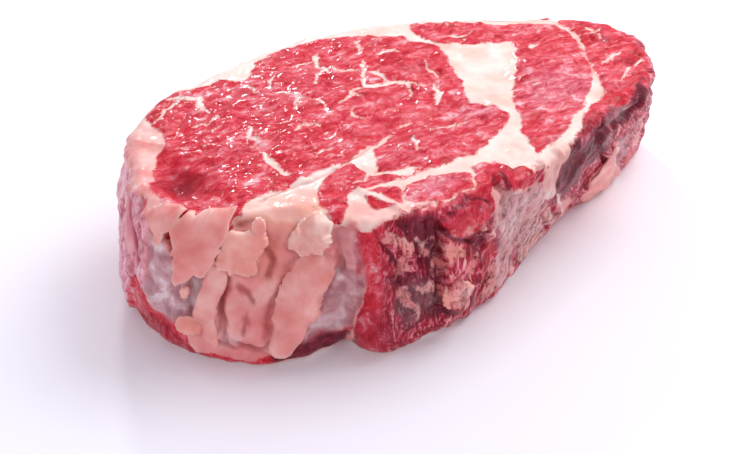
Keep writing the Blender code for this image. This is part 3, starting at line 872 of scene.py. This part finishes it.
# tones laid over the cream in turn: the wall's pink, partly painted shade; the lilac; orange, partly
# painted shade in two hollows; and a brown-red that is painted shade in creases
for amount, tone in (
        (add(SPAN, {"From Min": 0.0, "From Max": 1.0, "Value": pink_and_shade_in}), rosy),
        (add(SPAN, {"From Min": 1.0, "From Max": 2.0, "Value": pink_and_shade_in}), lilac),
        (add(MATH, {"operation": "MULTIPLY", 0: warm_and_shade_in, 1: 0.6}), "#FCA884"),
        (add(MATH, {"operation": "MULTIPLY", 0: crease_shade_in, 1: 0.7}), "#B43C44")):
    fat_tone = add(MIX, {"data_type": "RGBA", 0: amount, 6: fat_tone, 7: tone}, 2)

# borders are ragged at the size of a fibre, and thin veins break up into flecks
torn_edge = add(MIX, {"data_type": "FLOAT", 0: side_in, 2: speck, 3: strands})
rough_edge = add(MATH, {"operation": "MULTIPLY_ADD", 0: torn_edge, 1: 2.8, 2: -1.4})
rough_edge = add(MATH, {"operation": "MULTIPLY_ADD", 0: grain_dots, 1: 1.4, 2: add(
    MATH, {"operation": "ADD", 0: rough_edge, 1: -0.7})})
fat_share = add(SPAN, {"From Min": -0.25, "From Max": 0.45, "Value": add(
    MATH, {"operation": "ADD", 0: fat_in, 1: rough_edge})})
flecks = add(SPAN, {"From Min": 0.61, "From Max": 0.69, "To Max": 0.85, "Value": speck})
not_dark = add(SPAN, {"From Min": 0.0, "From Max": 0.35, "To Min": 1.0, "To Max": 0.0, "Value": dark_in})
flecks = add(MATH, {"operation": "MULTIPLY", 0: flecks, 1: not_dark})
share = add(MATH, {"operation": "MAXIMUM", 0: fat_share, 1: flecks})
colour = add(MIX, {"data_type": "RGBA", 0: share, 6: lean, 7: fat_tone}, 2)
skin = add(STOPS, {"stops": [(0.35, "#AE7C84"), (0.66, "#ECDCDE"), (0.5, "#CEA2A8")], "Fac": add(
    NOISE, {"Scale": 0.16, "Detail": 3.0, "Distortion": 0.8, "Vector": mm})})
colour = add(MIX, {"data_type": "RGBA", 0: add(MATH, {"operation": "MULTIPLY", 0: film_in, 1: 0.85}),
                   6: colour, 7: skin}, 2)

relief = add(MATH, {"operation": "MULTIPLY_ADD", 0: fibre, 1: 1.1, 2: bundle})
relief = add(MATH, {"operation": "MULTIPLY_ADD", 0: grain_dots, 1: 0.35, 2: relief})
drape = add(MATH, {"operation": "ADD", 0: cloud, 1: 0.72})
relief = add(MIX, {"data_type": "FLOAT", 0: share, 2: relief, 3: drape})
relief = add(MATH, {"operation": "MULTIPLY_ADD", 0: strands, 1: side_in, 2: relief})
bump = add("ShaderNodeBump", {"Strength": 1.0, "Distance": 0.0009, "Height": relief})
tree.links.new(colour, shader.inputs["Base Color"])
tree.links.new(bump, shader.inputs["Normal"])
tree.links.new(add(SPAN, {"To Min": 0.30, "To Max": 0.44, "Value": share}), shader.inputs["Roughness"])
for socket, value in (
        ("IOR", 1.38), ("Subsurface Weight", 0.2), ("Subsurface Radius", (1.0, 0.35, 0.25)),
        ("Subsurface Scale", 0.0015), ("Specular IOR Level", 0.16), ("Coat Weight", 0.3),
        ("Coat Roughness", 0.06)):
    shader.inputs[socket].default_value = value
slab.data.materials.append(beef)
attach(slab, "root")
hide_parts("steak")

# ---- The loose flaps of fat --------------------------------------------------------------------------
# Where the fat cap was pulled and trimmed at the front left, slips of it hang on by one edge: soft
# slabs 2 to 5 mm thick with torn, rounded lips. Each grows out of the wall that it lies on.

FLAP_RINGS, FLAP_COLUMNS = 16, 120


def wall_surface(where):
    """Wall place and outward normal at distances round the rim and heights, by small differences."""
    def place_at(spot):
        """Reach of the wall at each bearing and height, less the quarter rounds at the rim and foot."""
        turned = np.interp(spot[:, 0], rim_distance, fine_bearing)
        low = np.clip(FOOT_RADIUS - spot[:, 1], 0.0, FOOT_RADIUS)
        high = np.clip(spot[:, 1] - THICKNESS + RIM_RADIUS, 0.0, RIM_RADIUS)
        inset = (FOOT_RADIUS - np.sqrt(FOOT_RADIUS ** 2 - low ** 2)
                 + RIM_RADIUS - np.sqrt(RIM_RADIUS ** 2 - high ** 2))
        x, y = polar(wall_reach(turned, spot[:, 1] / THICKNESS) - inset, turned)
        return np.stack([x, y, spot[:, 1]], 1)
    middle = place_at(where)
    onward = place_at(where + (0.4, 0.0)) - middle
    upward = place_at(where - (0.0, 0.4)) - middle
    outward = np.cross(upward, onward)
    return middle, outward / np.linalg.norm(outward, axis=1)[:, None]


def finish_slip(name, where, values, *face_sets):
    """One slip of fat from places in millimetres: its mesh, its fields (0 unless given) and its body."""
    piece = write_mesh(name, (where - np.array([middle[0], middle[1], 0.0])) * MM, *face_sets)
    for title in FIELDS:
        layer = piece.data.attributes.new(title, "FLOAT", "POINT")
        layer.data.foreach_set("value", values.get(title, np.zeros(len(where))).astype(np.float32))
    piece.data.materials.append(beef)
    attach(piece, "root")


def flap(name, outline, stand, half, tilt=(0.0, 0.0), tones=(0.0, 0.0, 1.0), waves=0.5, blunt=5.0):
    """A torn slip: rings run from the middle of its outline to the lip on the front and back again.

    It stands off the wall by `stand` plus tilt times the offset from its middle. Its half thickness is
    half·√(1 - ρ^blunt) at a share ρ of the way to the lip. Noise waves its faces and frays its outline.
    """
    shape = smooth_outline(outline, 8)
    centre = shape.mean(axis=0)
    spoke = shape - centre
    angle = np.arctan2(spoke[:, 1], spoke[:, 0]) % (2 * np.pi)
    order = np.argsort(angle)
    columns = np.linspace(0.0, 2 * np.pi, FLAP_COLUMNS, endpoint=False)
    reach = np.interp(columns, angle[order], np.hypot(*spoke.T)[order], period=2 * np.pi)
    fray = np.stack([12.0 * np.cos(columns), 12.0 * np.sin(columns), 0.0 * columns + centre[0]], 1)
    reach = reach * (1.0 + 0.07 * layered(fray, 2.4, 3, 2.9))
    out = 1.0 - (1.0 - np.linspace(0.0, 1.0, FLAP_RINGS + 1)[1:]) ** 2
    rho = np.concatenate([out, out[-2::-1]])
    facing = np.concatenate([np.ones(FLAP_RINGS), -np.ones(FLAP_RINGS - 1)])
    direction = np.stack([np.cos(columns), np.sin(columns)], 1)
    offset = (rho[:, None, None] * reach[None, :, None] * direction[None]).reshape(-1, 2)
    rho = np.concatenate([np.repeat(rho, FLAP_COLUMNS), [0.0, 0.0]])
    facing = np.concatenate([np.repeat(facing, FLAP_COLUMNS), [1.0, -1.0]])
    offset = np.concatenate([offset, np.zeros((2, 2))])
    spot = centre + offset
    spot[:, 1] = np.clip(spot[:, 1], 0.6, THICKNESS)
    base, outward = wall_surface(spot)
    off = stand + offset @ np.array(tilt) + facing * half * np.sqrt(np.clip(1.0 - rho ** blunt, 0.0, 1.0))
    off = off + waves * layered(base, 5.0, 3, 6.1)
    where = base + np.maximum(off, -1.5)[:, None] * outward
    where[:, 2] = np.maximum(where[:, 2], 0.3)
    rings = np.arange(len(rho) - 2).reshape(-1, FLAP_COLUMNS)
    nxt = np.roll(rings, -1, axis=1)
    sides = np.stack([rings[:-1], rings[1:], nxt[1:], nxt[:-1]], -1).reshape(-1, 4)
    front = np.stack([np.full(FLAP_COLUMNS, len(rho) - 2), rings[0], nxt[0]], 1)
    back = np.stack([np.full(FLAP_COLUMNS, len(rho) - 1), nxt[-1], rings[-1]], 1)
    # tones are the orange, the paling at the lip and the pink: the lip has less of the pink, which is
    # partly painted shade, so it shows paler, and the back, facing the wall, gets painted shade
    edge = np.exp(-((rho - 1.0) / 0.12) ** 2)
    values = {"fat": 4.0 + 0.0 * rho, "pink_and_shade": tones[2] - tones[1] * edge, "warm_and_shade": tones[0] + 0.0 * rho,
              "crease_shade": np.where(facing < 0, 0.8, 0.0)}
    finish_slip(name, where, values, sides, front, back)


flap("flap_left", [(275.6, 49.8), (283, 51), (290.4, 50), (291.4, 45), (290.4, 40), (289, 35),
                   (287, 32.6),
                   (284, 31.6), (280.4, 29.2), (278, 30.6), (277.8, 35), (276, 41), (275.2, 46)],
     2.0, 1.7, (0.02, -0.05), (0.15, 0.4, 1.0))
flap("flap_middle", [(291.6, 45.2), (294, 45.8), (298, 45.2), (303, 45.2), (303.8, 42.6), (305.8, 40.6),
                     (304.4, 38), (303.4, 35.6), (304.8, 31.8), (301, 31.4), (296, 32.4), (291, 34.6),
                     (290, 38), (291, 42)], 1.9, 1.6, (0.06, 0.03), (0.4, 0.6, 1.0))
flap("flap_upper", [(298.8, 47), (300.6, 48.4), (303.2, 46.8), (303.4, 44), (300.6, 43.6)], 2.6, 1.2,
     (0.0, 0.0), (0.2, 0.8, 1.0))
flap("flap_spike", [(265.6, 48), (268, 50.6), (272, 51), (276.4, 49.6), (275.4, 46), (273.4, 44.4),
                    (272.6, 40.6), (271.2, 40.2), (270.6, 43), (268, 45)], 1.4, 1.2, (0.0, 0.0),
                    (0.1, 0.7, 1.0))
flap("flap_knob", [(311.2, 41), (312.8, 44.6), (314.6, 47.6), (318, 49.4), (323.2, 48.4), (324.8, 43.5),
                   (322.4, 39.4), (317.5, 36.6), (313.4, 38.2)], 1.8, 3.0, (0.0, 0.04), (0.3, 0.6, 0.6),
                   1.7, 3.0)
flap("flap_roll", [(314.6, 36), (318, 38.4), (322, 37.6), (326, 32.4), (323.6, 30), (322.4, 26),
                   (320.8, 19), (318.6, 12), (315, 5.4), (311.2, 7.6), (311.6, 14), (311.6, 21),
                   (312, 29)],
     1.2, 3.6, (0.0, 0.0), (0.15, 0.2, 0.95), 0.8, 2.0)
flap("flap_tab", [(279.2, 14.6), (281, 17.8), (285, 18.4), (289.6, 17.6), (290.2, 13.6), (286, 11.8),
                  (281.4, 11.4)], 0.9, 1.0, (-0.06, 0.0), (0.4, 0.6, 1.0))
flap("flap_bead", [(280.2, 26), (281.4, 28.1), (283.4, 27.4), (283.1, 24.6), (281.3, 24)], -0.2, 1.2,
     (0.0, 0.0), (0.4, 0.0, 1.0))
flap("flap_tail", [(456, 18), (455, 25), (449.6, 33), (455, 31.4), (466, 21), (480, 9.6), (487, 2),
                   (482, 0.8),
                   (470, 3), (460, 7)], 0.8, 1.2, (0.0, 0.04), (0.2, 0.4, 1.0))
flap("flap_rib", [(358.4, 21.4), (361, 23), (366, 22.4), (368.8, 19), (368.8, 14), (365, 11.8),
                  (360, 13.4),
                  (358, 17)], 2.4, 1.1, (0.03, 0.0), (0.5, 0.3, 1.0))


FOLD_SIDES = 24


def fold(name, width, height, path, tones=(0.0, 0.3, 1.0)):
    """A rolled edge: ellipses set along a smooth path on the wall, drawn in to a point at both ends.

    At a share t of the way the section is (width/2, height) times √(1 - |2t - 1|³), waved by noise.
    """
    line = smooth_outline(list(path) + list(path)[-2:0:-1], 8)[:8 * len(path) - 7]
    step = np.gradient(line, axis=0)
    across = np.stack([-step[:, 1], step[:, 0]], 1) / np.linalg.norm(step, axis=1)[:, None]
    t = np.linspace(-1.0, 1.0, len(line))
    uneven = 1.0 + 0.16 * grain(np.stack([line[:, 0], line[:, 1], t], 1), 3.0, 5.5)
    size = np.sqrt(1.0 - 0.995 * np.abs(t) ** 3) * uneven
    turn = np.linspace(0.0, 2 * np.pi, FOLD_SIDES, endpoint=False)
    spot = line[:, None] + 0.5 * width * (size[:, None] * np.cos(turn))[..., None] * across[:, None]
    base, outward = wall_surface(spot.reshape(-1, 2))
    section = np.sign(np.sin(turn)) * np.abs(np.sin(turn)) ** 0.6
    rise = 0.1 + height * (size[:, None] * section).ravel() + 0.25 * layered(base, 3.0, 2, 8.3)
    where = base + np.maximum(rise, -1.5)[:, None] * outward
    ends, end_out = wall_surface(line[[0, -1]])
    where = np.concatenate([where, ends + 0.3 * end_out])
    where[:, 2] = np.maximum(where[:, 2], 0.3)
    rings = np.arange(len(line) * FOLD_SIDES).reshape(-1, FOLD_SIDES)
    nxt = np.roll(rings, -1, axis=1)
    sides = np.stack([rings[:-1], nxt[:-1], nxt[1:], rings[1:]], -1).reshape(-1, 4)
    first = np.stack([np.full(FOLD_SIDES, rings.size), nxt[0], rings[0]], 1)
    final = np.stack([np.full(FOLD_SIDES, rings.size + 1), rings[-1], nxt[-1]], 1)
    # the crown of the roll has less of the pink, which is partly painted shade, and painted shade gathers
    # along the flanks where the roll meets the wall
    crown = np.concatenate([np.tile(np.clip(np.sin(turn), 0.0, 1.0), len(line)), [0.0, 0.0]])
    values = {"fat": 4.0 + 0.0 * crown, "pink_and_shade": tones[2] - tones[1] * crown,
              "warm_and_shade": tones[0] + 0.0 * crown,
              "crease_shade": 0.5 * (1.0 - crown) ** 4}
    finish_slip(name, where, values, sides, first, final)


fold("fold_upper", 8.4, 1.35, [(286.8, 35), (289.4, 33.6), (291.2, 31), (291.6, 28.4), (290.8, 25.6),
                               (290.2, 22.6),
                               (290.2, 20), (291, 17), (293, 13.2), (296, 8)], (0.1, 0.1, 1.0))
fold("fold_left", 6.0, 1.0, [(247, 46), (248.6, 41), (252, 37), (257, 33), (260, 28.5), (261, 24)],
     (0.0, 0.5, 2.0))

# ---- The table and the light --------------------------------------------------------------------------
# A plain pale sweep of board under the steak, a bright even room, and one broad soft lamp behind it.
FLOOR_HALF = 3.0
floor_mesh = bpy.data.meshes.new("floor")
floor_mesh.from_pydata([(-FLOOR_HALF, -FLOOR_HALF, 0.0), (FLOOR_HALF, -FLOOR_HALF, 0.0),
                        (FLOOR_HALF, FLOOR_HALF, 0.0), (-FLOOR_HALF, FLOOR_HALF, 0.0)], [],
                        [(0, 1, 2, 3)])
floor = bpy.data.objects.new("floor", floor_mesh)
bpy.context.scene.collection.objects.link(floor)
pale = bpy.data.materials.new("pale_board")
pale.use_nodes = True
for socket, value in (("Base Color", linear("#F2F0F6")), ("Roughness", 0.7),
                      ("Emission Color", linear("#FFFFFF")), ("Emission Strength", 0.05)):
    pale.node_tree.nodes["Principled BSDF"].inputs[socket].default_value = value
floor_mesh.materials.append(pale)

world = bpy.data.worlds.new("room")
bpy.context.scene.world = world
world.use_nodes = True
world.node_tree.nodes["Background"].inputs["Color"].default_value = linear("#F6F4FF")
world.node_tree.nodes["Background"].inputs["Strength"].default_value = 0.74


def soft_lamp(name, at, aim, wide, tall, watts):
    """A rectangular lamp at a place, facing its aim: its axis is turned onto the line between them."""
    lamp = bpy.data.lights.new(name, "AREA")
    lamp.shape = "RECTANGLE"
    lamp.size = wide
    lamp.size_y = tall
    lamp.energy = watts
    holder = bpy.data.objects.new(name, lamp)
    holder.location = at
    holder.rotation_euler = (Vector(aim) - Vector(at)).to_track_quat("-Z", "Y").to_euler()
    bpy.context.scene.collection.objects.link(holder)


soft_lamp("key", (0.50, 0.02, 0.66), (0.0, 0.0, 0.03), 0.6, 0.5, 4.3)
soft_lamp("window", (0.26, 0.74, 0.53), (-0.05, 0.0, 0.05), 0.11, 0.08, 1.8)

camera = bpy.data.cameras.new("camera")
camera.sensor_width = 36.0
camera.lens = 67.0
viewer = bpy.data.objects.new("camera", camera)
viewer.location = (-0.23459, -0.34090, 0.28655)
viewer.rotation_euler = (np.radians(55.0), 0.0, np.radians(-33.0))
bpy.context.scene.collection.objects.link(viewer)
bpy.context.scene.camera = viewer
bpy.context.scene.view_settings.view_transform = "Standard"
